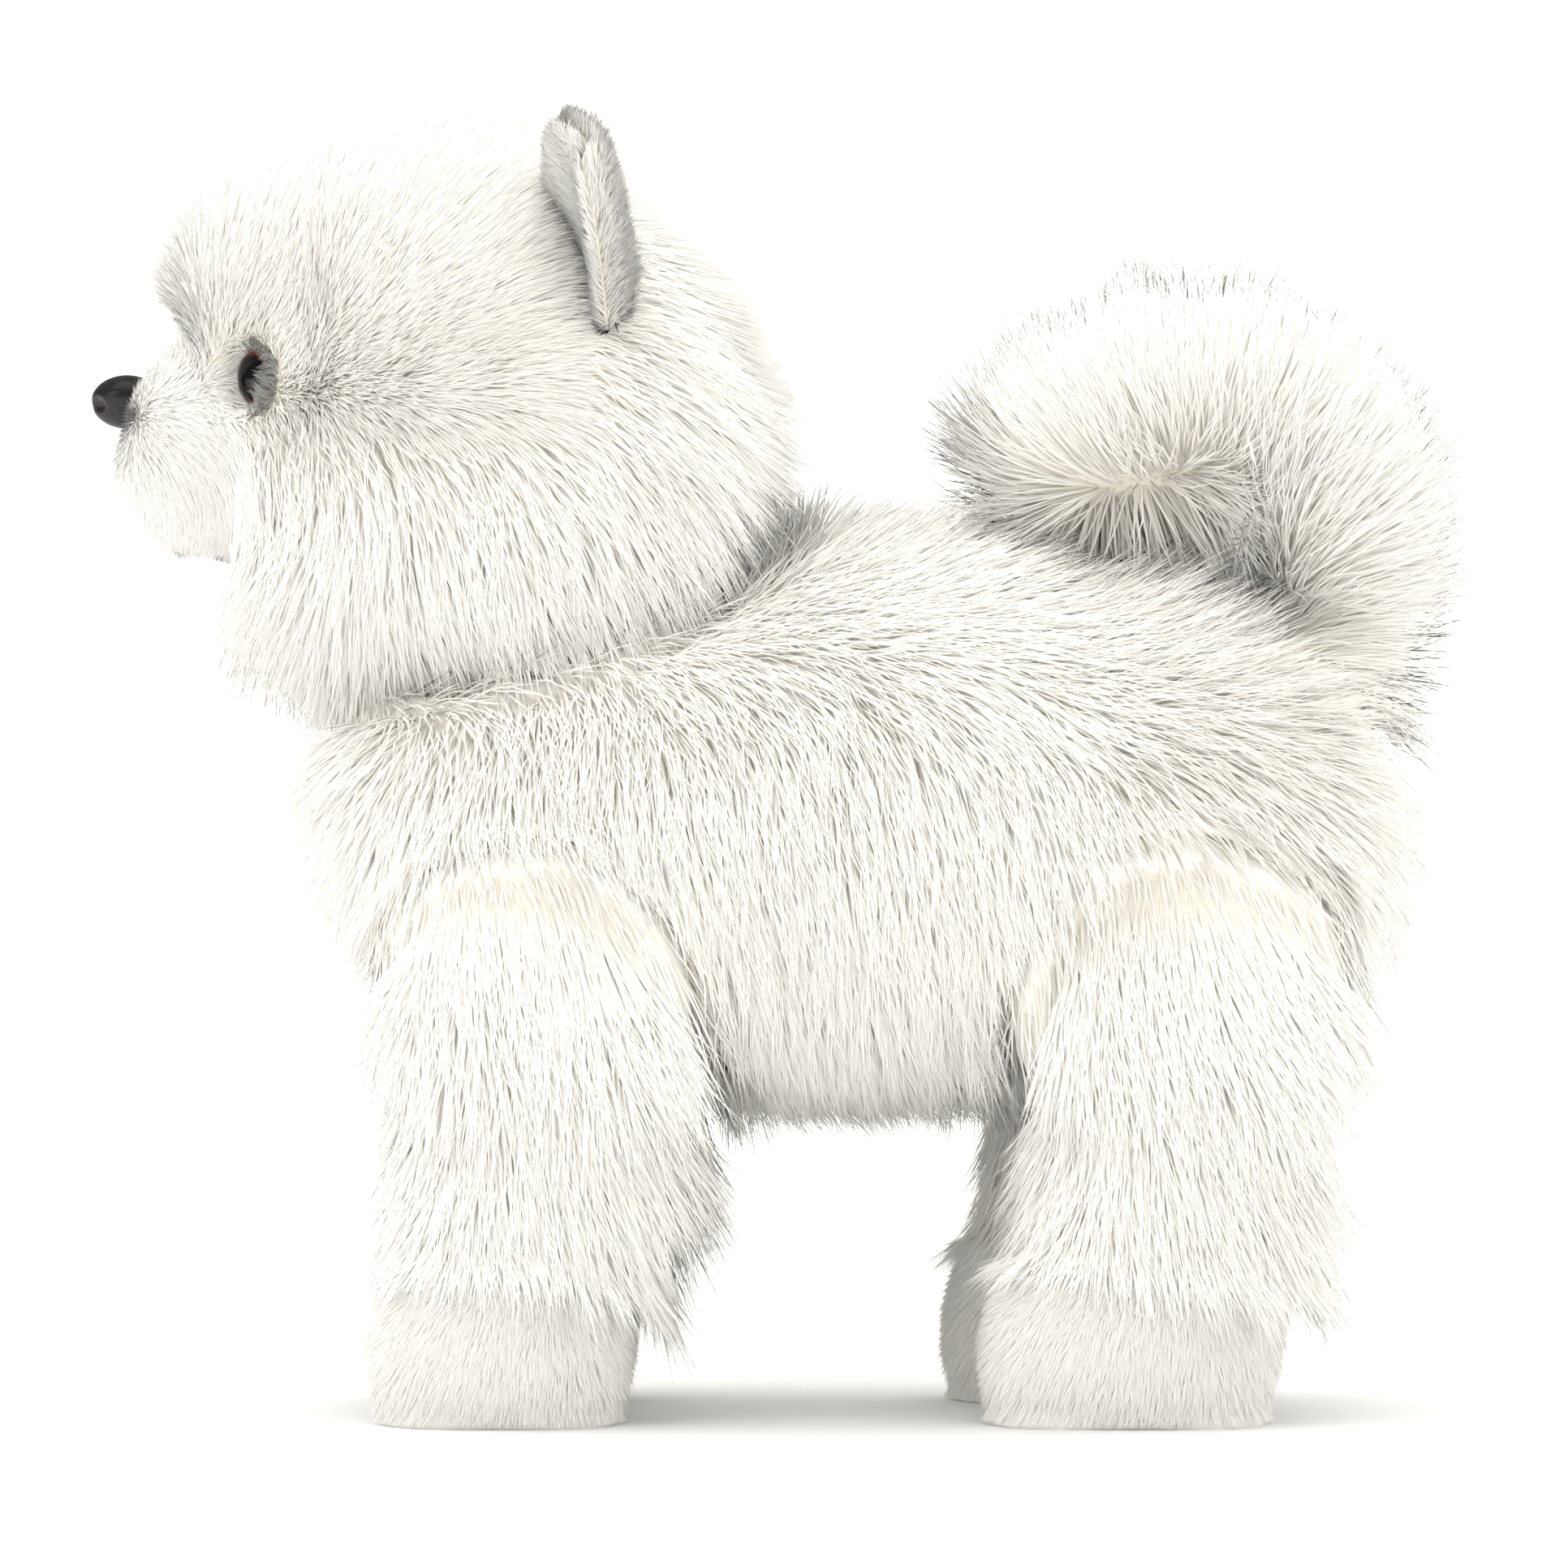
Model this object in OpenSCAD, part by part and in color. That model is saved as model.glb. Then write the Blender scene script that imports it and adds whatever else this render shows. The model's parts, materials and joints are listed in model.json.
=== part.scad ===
// Standing plush dog with a long-pile coat, a curled tail and soft-sprung limbs.
// Frame: +X towards the nose, +Y towards the dog's left side, +Z up, floor at Z = 0.
// Every soft panel is a closed solid from its backing cloth out to the middle of its pile.

/* [Coat] */
// Thickness of the long-pile panels on the torso
torso_coat = 12; // [9:0.5:13]
// Thickness of the long-pile panels on the head
head_coat = 12; // [9:0.5:12.5]
// Thickness of the long-pile panels on the tail
tail_coat = 10; // [7:0.5:11]
// Thickness of the long-pile panels on the legs
leg_coat = 10; // [7:0.5:11]
// Thickness of the short-pile panels on the muzzle, chin and paws
short_coat = 4; // [3:0.25:5]
// Air gap between a panel's backing cloth and the filling behind it
fill_gap = 0.2; // [0.1:0.05:0.4]

/* [Head] */
// Radius of the round underside of the head, which turns in the torso's neck cup
head_ball_r = 84; // [83:0.25:85]
// Running gap between two soft faces that slide on each other
soft_gap = 0.4; // [0.3:0.05:0.6]
// Radius of the stuffed neck plug
neck_r = 30; // [24:1:34]

/* [Face] */
// Diameter of each eye
eye_d = 14; // [12:0.5:14.5]
// Height of the eye's clear dome
eye_dome = 4.5; // [3.5:0.25:5]
// Sideways place of each eye's centre
eye_y = 27; // [25:0.5:28]
// Width of the nose
nose_w = 17; // [15:0.5:18]
// Height of the nose
nose_h = 13.6; // [12:0.2:14]

/* [Ears] */
// Height of an ear from its base seam to its tip
ear_h = 39; // [30:1:41]
// Width of an ear along its base seam
ear_w = 46; // [40:1:50]
// Thickness of one of an ear's two layers
ear_layer = 4.5; // [3.5:0.25:5]
// How far an ear's face turns outward from straight ahead
ear_yaw = 25; // [0:1:30]

/* [Tail] */
// Radius of the tail's curl at the middle of the tail
curl_r = 32; // [31:0.5:34]
// Radius of the tail's stuffed root
root_r = 20; // [17:0.5:21]

/* [Legs] */
// Sideways place of each leg's middle plane
leg_y = 38; // [37:0.5:42]
// Half the thickness of a leg at its shoulder or hip
leg_half_w = 26; // [22:0.5:26]
// Radius of a front leg's shoulder
shoulder_r = 40; // [38:0.5:41]
// Radius of a hind leg's hip
hip_r = 42; // [40:0.5:43]
// How far the right hind leg stands ahead of the left one
stance = 8; // [0:1:9]
// Furthest swing of a leg either way
swing = 10; // [5:1:11]
// Thickness of a paw's sole
sole_t = 3; // [2:0.5:3]

/* [Hidden] */

$fn = 48;
sides = 20;      // facets round the torso and the head
few_sides = 16;  // facets round the smaller limbs
far = 400;       // larger than the whole dog

left = 1;
right = -1;

// A station is [x, z, half height, half width, tilt] of one oval section.
// At tilt 0 the section stands across X, and at tilt 90 it lies flat.
torso_form = [
    [-160, 145, 8, 12, 0], [-155, 144, 22, 30, 0], [-143, 143, 36, 46, 0], [-120, 144, 50, 58, 0],
    [-85, 147, 62, 64, 0], [-45, 150, 71, 66, 0], [-5, 151, 72, 66, 0], [35, 150, 67, 64, 0],
    [70, 150, 56, 58, 0], [95, 155, 38, 46, 0], [107, 160, 22, 30, 0], [111, 163, 6, 10, 0],
];
head_form = [
    [7, 234, 14, 28, 0], [12, 235, 30, 42, 0], [22, 238, 47, 54, 0], [38, 242, 63, 63, 0],
    [60, 248, 75, 66, 0], [85, 251, 73, 62, 0], [107, 253, 66, 52, 0], [125, 255, 55, 37, 0],
    [138, 261, 40, 27, 0], [145, 275, 21, 19, 0], [148, 278, 9, 9, 0],
];
muzzle_form = [
    [118, 243, 26, 27, 0], [138, 244, 26, 27, 0], [149, 244, 23.5, 25, 0],
    [157, 243, 19, 21, 0], [161, 241.5, 12, 14, 0], [162.5, 241, 4, 5, 0],
];
chin_form = [
    [120, 224, 12, 17, 0], [137, 222, 9.5, 16, 0], [147, 221.5, 7, 13, 0],
    [154, 223, 5, 9, 0], [157, 224, 2, 3.5, 0],
];
front_leg_form = [
    [57, 105, 36, 24, 90], [56, 92, 37, 25, 90], [56, 78, 39, 25.5, 90],
    [57, 64, 39, 25.5, 90], [60, 52, 36, 24.5, 90], [63, 40, 33, 23, 90],
];
hind_leg_form = [
    [-102, 105, 38, 24, 90], [-102, 92, 38, 25, 90], [-101, 78, 39, 25.5, 90],
    [-100, 64, 39, 25.5, 90], [-98, 52, 39, 24.5, 90], [-95, 40, 39, 23, 90],
];
front_paw_form = [
    [63, 40, 32, 22, 90], [64, 32, 34, 24, 90], [65, 20, 35, 25, 90],
    [65, 9, 33.5, 23.5, 90], [65, 3, 29, 20, 90],
];
hind_paw_form = [
    [-95, 40, 38, 22, 90], [-93, 32, 40, 24, 90], [-91, 20, 39.5, 25, 90],
    [-90, 9, 38, 23.5, 90], [-90, 3, 34, 20, 90],
];

neck_centre = [67, 0, 258];
neck_floor = 147;   // underside of the stuffed neck, just over the shoulders
shoulder = [57, 0, 105];
hip = [-102, 0, 105];
curl_centre = [-107.5, 0, 217];
tail_root = [-135, 0, 188];
ear_base = [42, 45, 287];
ear_roll = 45;   // how far an ear leans out from upright
ear_lean = 8;    // how far its tip leans forward
eye_place = [125, eye_y, 258];
eye_turn = 37;   // how far an eye looks out from straight ahead
nose_place = [159, 0, 252.5];
paw_top = 40;    // height of the seam between a leg and its paw

// Angle round the curl, half thickness and half width of each of the tail's sections.
tail_sections = [
    [215, 20, 23], [195, 24, 26], [165, 28, 29], [135, 30, 31], [105, 30, 32], [75, 30, 32],
    [45, 29, 30], [20, 24, 26], [6, 14, 16], [0, 5, 6],
];
tail_form = [
    for (s = tail_sections)
        [curl_centre.x + curl_r * cos(s[0]), curl_centre.z + curl_r * sin(s[0]), s[1], s[2], 90 - s[0]]
];

// ---------- shared shapes ----------

// The form shrunk by t all round; pull draws its ends in towards its middle.
function inset(form, t, pull = 1) =
    let (mid = (form[0][0] + form[len(form) - 1][0]) / 2)
    [
        for (s = form)
            if (s[2] > t + 2 && s[3] > t + 2)
                [mid + (s[0] - mid) * pull, s[1], s[2] - t, s[3] - t, s[4]]
    ];

// A closed solid through the oval sections of a form.
module loft(form, n = few_sides) {
    rings = len(form);
    points = [
        for (s = form, i = [0 : n - 1])
            let (a = 360 * i / n, up = s[2] * sin(a))
                [s[0] + up * sin(s[4]), s[3] * cos(a), s[1] + up * cos(s[4])]
    ];
    walls = [
        for (r = [0 : rings - 2], i = [0 : n - 1])
            let (j = (i + 1) % n, low = r * n, high = low + n)
                each [[low + i, high + i, high + j], [low + i, high + j, low + j]]
    ];
    first_cap = [for (i = [0 : n - 1]) i];
    last_cap = [for (i = [n - 1 : -1 : 0]) (rings - 1) * n + i];
    polyhedron(points = points, faces = concat([first_cap], walls, [last_cap]));
}

// Everything on one side of the middle plane.
module half_space(side) {
    translate([-far, side > 0 ? 0 : -far, -far]) cube([2 * far, far, 2 * far]);
}

module cyl_y(r, y0, y1) {
    translate([0, y1, 0]) rotate([90, 0, 0]) cylinder(r = r, h = y1 - y0);
}

module cyl_x(r, x0, x1) {
    translate([x0, 0, 0]) rotate([0, 90, 0]) cylinder(r = r, h = x1 - x0);
}

// ---------- torso ----------

belly_half_w = 22;
belly_top = 112;
torso_pull = 0.92;

module neck_cup(gap) {
    translate(neck_centre) sphere(r = head_ball_r + gap, $fn = 64);
}

// The space that a leg's shoulder or hip sweeps as the leg swings.
module leg_room(joint, r, ahead, side) {
    flare = 12 + swing * 0.3;
    inner = leg_y - leg_half_w - soft_gap;
    mirror([0, side < 0 ? 1 : 0, 0]) translate([joint.x + ahead, 0, joint.z]) {
        cyl_y(r + soft_gap, inner, far);
        translate([0, far, 0]) rotate([90, 0, 0]) linear_extrude(height = far - inner)
            polygon([[-r - soft_gap, 0], [r + soft_gap, 0], [r + flare, -50], [-r - flare, -50]]);
    }
}

module all_leg_rooms() {
    for (side = [left, right]) {
        leg_room(shoulder, shoulder_r, 0, side);
        leg_room(hip, hip_r, side > 0 ? 0 : stance, side);
    }
}

module tail_room() {
    translate(tail_root) {
        sphere(r = root_r + soft_gap);
        cylinder(r = 27, h = far);
    }
}

// What the torso gives up to the parts that move in it.
module torso_rooms() {
    neck_cup(2 * soft_gap);
    translate([neck_centre.x, 0, neck_floor - soft_gap]) cylinder(r = neck_r + soft_gap, h = far);
    all_leg_rooms();
    tail_room();
}

module torso_shell() {
    difference() {
        loft(torso_form, sides);
        loft(inset(torso_form, torso_coat, torso_pull), sides);
        torso_rooms();
    }
}

module belly_space() {
    translate([-far, -belly_half_w, -far]) cube([2 * far, 2 * belly_half_w, far + belly_top]);
}

module torso_side(side) {
    color("ivory") difference() {
        intersection() {
            torso_shell();
            half_space(side);
        }
        belly_space();
    }
}

module belly_panel() {
    color("floralwhite") intersection() {
        torso_shell();
        belly_space();
    }
}

module torso_stuffing() {
    color("white") difference() {
        loft(inset(torso_form, torso_coat + fill_gap, torso_pull), sides);
        torso_rooms();
    }
}

module neck_stuffing() {
    color("white") difference() {
        translate([neck_centre.x, 0, neck_floor]) cylinder(r = neck_r, h = 55);
        neck_cup(soft_gap);
    }
}

// ---------- head ----------

crown_half_w = 17;
crown_bottom = 262;
head_pull = 0.9;

module eye_frame(side) {
    translate([eye_place.x, side * eye_place.y, eye_place.z]) rotate([0, 90, side * eye_turn])
        children();
}

module eye_rooms() {
    for (side = [left, right]) eye_frame(side) {
        translate([0, 0, -1.4]) cylinder(r = eye_d / 2 + 0.3, h = 30);
        translate([0, 0, -14]) cylinder(r = 2.3, h = 14);
    }
}

// Puts its children at an ear's base seam: Y along the seam, Z up the ear, X out of its face.
module ear_frame(side) {
    mirror([0, side < 0 ? 1 : 0, 0]) translate(ear_base) rotate([0, 0, ear_yaw]) rotate([-ear_roll, 0, 0])
        children();
}

// The groove that an ear turns in, with room for its two faces to lean either way.
module ear_rooms() {
    for (side = [left, right]) ear_frame(side) {
        cyl_y(ear_layer + 0.5, -ear_w / 2 - 1, ear_w / 2 + 1);
        translate([0, ear_w / 2 + 1, 0]) rotate([90, 0, 0]) linear_extrude(height = ear_w + 2)
            polygon([[-ear_layer - 0.6, -1], [ear_layer + 0.6, -1], [ear_layer + 13, 24], [-ear_layer - 9, 24]]);
    }
}

module head_body(t = 0) {
    intersection() {
        loft(t > 0 ? inset(head_form, t, head_pull) : head_form, sides);
        neck_cup(-t);
    }
}

module head_shell() {
    difference() {
        head_body();
        head_body(head_coat);
        loft(inset(muzzle_form, short_coat));
        eye_rooms();
        ear_rooms();
    }
}

module crown_space() {
    translate([-far, -crown_half_w, crown_bottom]) cube([2 * far, 2 * crown_half_w, far]);
}

module head_side(side) {
    color("ivory") difference() {
        intersection() {
            head_shell();
            half_space(side);
        }
        crown_space();
    }
}

module head_crown() {
    color("floralwhite") intersection() {
        head_shell();
        crown_space();
    }
}

module muzzle_half(side) {
    color("snow") difference() {
        intersection() {
            loft(muzzle_form);
            half_space(side);
        }
        loft(inset(muzzle_form, short_coat));
        loft(head_form, sides);
        translate(nose_place) {
            cyl_x(nose_w / 2 + 0.4, -0.1, 20);
            cyl_x(2.6, -20, 0);
        }
        eye_rooms();
    }
}

module chin() {
    color("snow") difference() {
        loft(chin_form);
        loft(muzzle_form);
        loft(head_form, sides);
    }
}

module head_stuffing() {
    color("white") difference() {
        union() {
            head_body(head_coat + fill_gap);
            intersection() {
                loft(inset(muzzle_form, short_coat + fill_gap));
                translate([100, -far, 0]) cube([far, 2 * far, far]);
            }
        }
        for (side = [left, right]) eye_frame(side) {
            translate([0, 0, -17]) cylinder(r = 7, h = 17);
            translate([0, 0, -1.4]) cylinder(r = eye_d / 2 + 0.3, h = 30);
        }
        ear_rooms();
        translate(nose_place) cyl_x(8.5, -17, 20);
    }
}

// Moulded nose: three rounded lobes in a triangle, flat behind, on a stem.
module nose() {
    lobe = 4;
    color([0.05, 0.045, 0.045]) translate(nose_place) {
        intersection() {
            hull() {
                for (side = [left, right])
                    translate([2.5, side * (nose_w / 2 - lobe), nose_h / 2 - lobe])
                        sphere(r = lobe, $fn = 32);
                translate([2.5, 0, lobe - nose_h / 2]) sphere(r = lobe, $fn = 32);
            }
            translate([0, -far, -far]) cube([far, 2 * far, 2 * far]);
        }
        cyl_x(2.5, -15, 1);
    }
}

module nose_washer() {
    color("whitesmoke") translate(nose_place) difference() {
        cyl_x(8, -8, -6.4);
        cyl_x(2.6, -9, 0);
    }
}

module eye_lens(side) {
    eye_r = eye_d / 2;
    ball = (eye_r * eye_r + eye_dome * eye_dome) / (2 * eye_dome);
    color([0.25, 0.1, 0.06, 0.6]) eye_frame(side) intersection() {
        translate([0, 0, eye_dome - ball]) sphere(r = ball, $fn = 64);
        cylinder(r = eye_d, h = eye_d);
    }
}

module eye_base(side) {
    color([0.03, 0.02, 0.02]) eye_frame(side) {
        translate([0, 0, -1.2]) cylinder(r = eye_d / 2, h = 1.2);
        translate([0, 0, -15]) cylinder(r = 2.2, h = 14.5);
    }
}

module eye_washer(side) {
    color("whitesmoke") eye_frame(side) difference() {
        translate([0, 0, -9.5]) cylinder(r = 6.5, h = 1.5);
        translate([0, 0, -12]) cylinder(r = 2.3, h = 6);
    }
}

// ---------- ears ----------

// Outline of an ear, with Y along its base seam and its tip up.
module ear_outline() {
    tip_r = 9;
    corner_r = 5;
    hull() {
        translate([1, ear_h - tip_r]) circle(r = tip_r);
        for (end = [-1, 1]) translate([end * (ear_w / 2 - corner_r - 1), 9]) circle(r = corner_r);
        translate([-ear_w / 2 + 3, 0]) square([ear_w - 6, 1]);
    }
}

// One layer of an ear: face 1 is the lining in front, face -1 the back.
module ear_layer_solid(side, face) {
    ear_frame(side) rotate([0, ear_lean, 0]) intersection() {
        union() {
            rotate([90, 0, 90]) translate([0, 0, -ear_layer]) linear_extrude(height = 2 * ear_layer)
                ear_outline();
            cyl_y(ear_layer, -ear_w / 2 + 3, ear_w / 2 - 3);
        }
        translate([face > 0 ? 0 : -far, -far, -far]) cube([far, 2 * far, 2 * far]);
    }
}

module ear_lining(side) {
    color("snow") ear_layer_solid(side, 1);
}

module ear_back(side) {
    color("ivory") ear_layer_solid(side, -1);
}

// ---------- tail ----------

module tail_side(side) {
    color("ivory") difference() {
        intersection() {
            loft(tail_form);
            half_space(side);
        }
        loft(inset(tail_form, tail_coat));
        translate(tail_root) sphere(r = root_r + fill_gap);
    }
}

module tail_stuffing() {
    color("white") union() {
        loft(inset(tail_form, tail_coat + fill_gap));
        translate(tail_root) sphere(r = root_r);
    }
}

// ---------- legs ----------

// A round shoulder or hip: a disc across the leg with a rounded rim.
module round_joint(joint, r, half_w, edge) {
    translate(joint) rotate([90, 0, 0]) rotate_extrude($fn = 64) {
        translate([0, -half_w]) square([r - edge, 2 * half_w]);
        translate([0, edge - half_w]) square([r, 2 * (half_w - edge)]);
        for (end = [-1, 1]) translate([r - edge, end * (half_w - edge)]) circle(r = edge);
    }
}

module leg_outside(form, joint, r) {
    round_joint(joint, r, leg_half_w, 14);
    loft(form);
}

module leg_inside(form, joint, r, t) {
    round_joint(joint, r - t, leg_half_w - t, 6);
    loft(inset(form, t));
}

// Carries a leg modelled on the middle plane to its place; only the right hind leg stands ahead.
module leg_place(joint, side) {
    ahead = joint == hip && side < 0 ? stance : 0;
    translate([ahead, side * leg_y, 0]) children();
}

module leg_panel(form, joint, r, side, face) {
    color("ivory") leg_place(joint, side) difference() {
        intersection() {
            leg_outside(form, joint, r);
            half_space(side * face);
        }
        leg_inside(form, joint, r, leg_coat);
    }
}

module paw(form, joint, side) {
    color("snow") leg_place(joint, side) difference() {
        loft(form);
        loft(inset(form, short_coat));
    }
}

module leg_stuffing(leg_form, paw_form, joint, r, side) {
    color("white") leg_place(joint, side) {
        leg_inside(leg_form, joint, r, leg_coat + fill_gap);
        loft(inset(paw_form, short_coat + fill_gap));
    }
}

// Flat sole: a slot-shaped pad under the paw.
module sole(form, joint, side) {
    end_r = 18;
    reach = form[len(form) - 1][2] - end_r - 1;
    color("antiquewhite") leg_place(joint, side) translate([form[len(form) - 1][0], 0, 0])
        linear_extrude(height = sole_t) {
            square([2 * reach, 2 * end_r], center = true);
            for (end = [-1, 1]) translate([end * reach, 0]) circle(r = end_r);
        }
}

// ---------- nodes ----------

torso_side(left);  // torso_side_left
torso_side(right);  // torso_side_right
belly_panel();
torso_stuffing();
neck_stuffing();
head_side(left);  // head_side_left
head_side(right);  // head_side_right
head_crown();
head_stuffing();
muzzle_half(left);  // muzzle_left
muzzle_half(right);  // muzzle_right
chin();
nose();
nose_washer();
eye_lens(left);  // eye_lens_left
eye_lens(right);  // eye_lens_right
eye_base(left);  // eye_base_left
eye_base(right);  // eye_base_right
eye_washer(left);  // eye_washer_left
eye_washer(right);  // eye_washer_right
ear_back(left);  // ear_back_left
ear_back(right);  // ear_back_right
ear_lining(left);  // ear_lining_left
ear_lining(right);  // ear_lining_right
tail_side(left);  // tail_side_left
tail_side(right);  // tail_side_right
tail_stuffing();
for (side = [left, right]) {
    hand = side > 0 ? "left" : "right";
    front = str("front_", hand);
    hind = str("hind_", hand);
    leg_panel(front_leg_form, shoulder, shoulder_r, side, 1);
    leg_panel(front_leg_form, shoulder, shoulder_r, side, -1);
    leg_stuffing(front_leg_form, front_paw_form, shoulder, shoulder_r, side);
    paw(front_paw_form, shoulder, side);
    sole(front_paw_form, shoulder, side);
    leg_panel(hind_leg_form, hip, hip_r, side, 1);
    leg_panel(hind_leg_form, hip, hip_r, side, -1);
    leg_stuffing(hind_leg_form, hind_paw_form, hip, hip_r, side);
    paw(hind_paw_form, hip, side);
    sole(hind_paw_form, hip, side);
}
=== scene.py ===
import json
import math

import bmesh
import bpy
import numpy as np
from mathutils import Matrix, Vector
from mathutils.bvhtree import BVHTree

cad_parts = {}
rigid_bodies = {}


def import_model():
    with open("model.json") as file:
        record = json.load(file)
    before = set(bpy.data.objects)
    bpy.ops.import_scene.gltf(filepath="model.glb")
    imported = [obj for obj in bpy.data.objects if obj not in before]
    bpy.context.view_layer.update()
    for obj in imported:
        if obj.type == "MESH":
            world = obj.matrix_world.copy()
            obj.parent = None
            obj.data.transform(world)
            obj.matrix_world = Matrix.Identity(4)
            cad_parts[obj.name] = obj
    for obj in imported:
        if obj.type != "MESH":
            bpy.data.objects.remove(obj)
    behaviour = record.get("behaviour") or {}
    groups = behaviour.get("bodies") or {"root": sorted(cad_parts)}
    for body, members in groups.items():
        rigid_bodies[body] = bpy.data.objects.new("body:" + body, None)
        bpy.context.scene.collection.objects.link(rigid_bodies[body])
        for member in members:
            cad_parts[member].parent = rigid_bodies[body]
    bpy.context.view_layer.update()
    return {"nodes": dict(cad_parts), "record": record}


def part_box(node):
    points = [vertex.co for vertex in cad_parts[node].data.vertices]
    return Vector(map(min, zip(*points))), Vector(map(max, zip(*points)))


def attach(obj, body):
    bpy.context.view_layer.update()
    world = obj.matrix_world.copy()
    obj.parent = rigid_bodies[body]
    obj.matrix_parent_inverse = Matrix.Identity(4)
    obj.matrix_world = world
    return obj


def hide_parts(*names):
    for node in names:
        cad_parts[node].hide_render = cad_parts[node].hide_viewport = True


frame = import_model()
MM = 0.001
SIDES = {"left": 1, "right": -1}

# ---- The studio -------------------------------------------------------------
# A wide matt white floor, a bright warm-white sky that shiny plastic sees dimmed, and two
# large soft boxes. A long lens looks nearly level across the dog's left side.
camera_aim = Vector((-5, 0, 157)) * MM
camera_far = 2400 * MM
camera_tilt = math.radians(1)
frame_width = 392.4 * MM
sensor_width = 36
floor_half = 12.0
floor_white = (0.93, 0.93, 0.93, 1)
sky_white = (1, 0.98, 0.94, 1)
sky_strength, shiny_dimming = 1.76, 1.52


def less_for_rays(tree, rays, whole, taken):
    """A value that is whole, and less by what is taken for the two kinds of ray named."""
    path = tree.nodes.new("ShaderNodeLightPath")
    either = tree.nodes.new("ShaderNodeMath")
    either.operation = "MAXIMUM"
    for ray, slot in zip(rays, either.inputs):
        tree.links.new(path.outputs[ray], slot)
    value = tree.nodes.new("ShaderNodeMath")
    value.operation = "MULTIPLY_ADD"
    value.inputs[1].default_value = -taken
    value.inputs[2].default_value = whole
    tree.links.new(either.outputs[0], value.inputs[0])
    return value.outputs[0]


def white_floor():
    mesh = bpy.data.meshes.new("floor")
    corners = [(-floor_half, -floor_half, 0), (floor_half, -floor_half, 0)]
    corners += [(floor_half, floor_half, 0), (-floor_half, floor_half, 0)]
    mesh.from_pydata(corners, [], [(0, 1, 2, 3)])
    floor = bpy.data.objects.new("floor", mesh)
    bpy.context.scene.collection.objects.link(floor)
    paint = bpy.data.materials.new("studio_floor")
    paint.use_nodes = True
    surface = paint.node_tree.nodes["Principled BSDF"]
    surface.inputs["Base Color"].default_value = floor_white
    surface.inputs["Roughness"].default_value = 0.6
    mesh.materials.append(paint)


def white_sky():
    sky = bpy.data.worlds.new("white sky")
    sky.use_nodes = True
    glow = sky.node_tree.nodes["Background"]
    glow.inputs["Color"].default_value = sky_white
    shiny_rays = ("Is Glossy Ray", "Is Transmission Ray")
    strength = less_for_rays(sky.node_tree, shiny_rays, sky_strength, shiny_dimming)
    sky.node_tree.links.new(strength, glow.inputs["Strength"])
    bpy.context.scene.world = sky
    bpy.context.scene.view_settings.view_transform = "Standard"
    bpy.context.scene.cycles.diffuse_bounces = 8
    bpy.context.scene.cycles.transparent_max_bounces = 8


def soft_box(name, place, size, power):
    lamp = bpy.data.lights.new(name, "AREA")
    lamp.shape = "SQUARE"
    lamp.size = size
    lamp.energy = power
    box = bpy.data.objects.new(name, lamp)
    box.location = place
    box.rotation_euler = (camera_aim - Vector(place)).to_track_quat("-Z", "Y").to_euler()
    bpy.context.scene.collection.objects.link(box)


def long_lens():
    lens = bpy.data.cameras.new("camera")
    lens.sensor_width = sensor_width
    lens.lens = sensor_width * camera_far / frame_width
    lens.clip_start = 0.05
    camera = bpy.data.objects.new("camera", lens)
    camera.location = camera_aim + Vector((0, math.cos(camera_tilt), math.sin(camera_tilt))) * camera_far
    camera.rotation_euler = (camera_aim - camera.location).to_track_quat("-Z", "Y").to_euler()
    bpy.context.scene.collection.objects.link(camera)
    bpy.context.scene.camera = camera


white_floor()
white_sky()
soft_box("overhead", (0.2, 0.3, 1.5), 1.2, 5)
soft_box("front_left", (1.1, 1.0, 0.7), 0.8, 2.5)
long_lens()

# ---- Stuffed forms ----------------------------------------------------------
# The cloth bags under the pile. Each is its CAD panels and filling taken as one soft
# body, drawn in to where the backing cloth lies under the pile, and puffed by its filling.
filling_pressure = 4
most_swell = 2 * MM


def new_object(name, mesh):
    obj = bpy.data.objects.new(name, mesh)
    bpy.context.scene.collection.objects.link(obj)
    return obj


def node_tree_of(nodes):
    """A search tree over the CAD nodes given, to find how near they are."""
    points, faces = [], []
    for node in nodes:
        mesh = frame["nodes"][node].data
        start = len(points)
        points += [v.co.copy() for v in mesh.vertices]
        faces += [[start + i for i in p.vertices] for p in mesh.polygons]
    return BVHTree.FromPolygons(points, faces)


def coords(mesh):
    out = np.empty(len(mesh.vertices) * 3)
    mesh.vertices.foreach_get("co", out)
    return out.reshape(-1, 3)


def normals(mesh):
    out = np.empty(len(mesh.vertices) * 3)
    mesh.vertices.foreach_get("normal", out)
    return out.reshape(-1, 3)


def spread(mesh, values, rounds):
    """Averages a per-vertex value with its neighbours' a few times."""
    edges = np.empty(len(mesh.edges) * 2, int)
    mesh.edges.foreach_get("vertices", edges)
    a, b = edges.reshape(-1, 2).T
    count = np.bincount(a, minlength=len(values)) + np.bincount(b, minlength=len(values))
    count = np.maximum(count, 1)
    for _ in range(rounds):
        if values.ndim == 1:
            total = np.bincount(a, values[b], len(values)) + np.bincount(b, values[a], len(values))
            values = (values + total / count) / 2
        else:
            values = np.stack([spread(mesh, values[:, i], 1) for i in range(values.shape[1])], 1)
    return values


def set_attribute(mesh, name, values):
    kind = "FLOAT" if values.ndim == 1 else "FLOAT_VECTOR"
    layer = mesh.attributes.new(name, kind, "POINT")
    layer.data.foreach_set("value" if values.ndim == 1 else "vector", values.astype(np.float32).ravel())


def get_attribute(mesh, name):
    layer = mesh.attributes[name]
    vector = layer.data_type == "FLOAT_VECTOR"
    out = np.empty(len(layer.data) * (3 if vector else 1), np.float32)
    layer.data.foreach_get("vector" if vector else "value", out)
    return out.reshape(-1, 3) if vector else out


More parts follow.
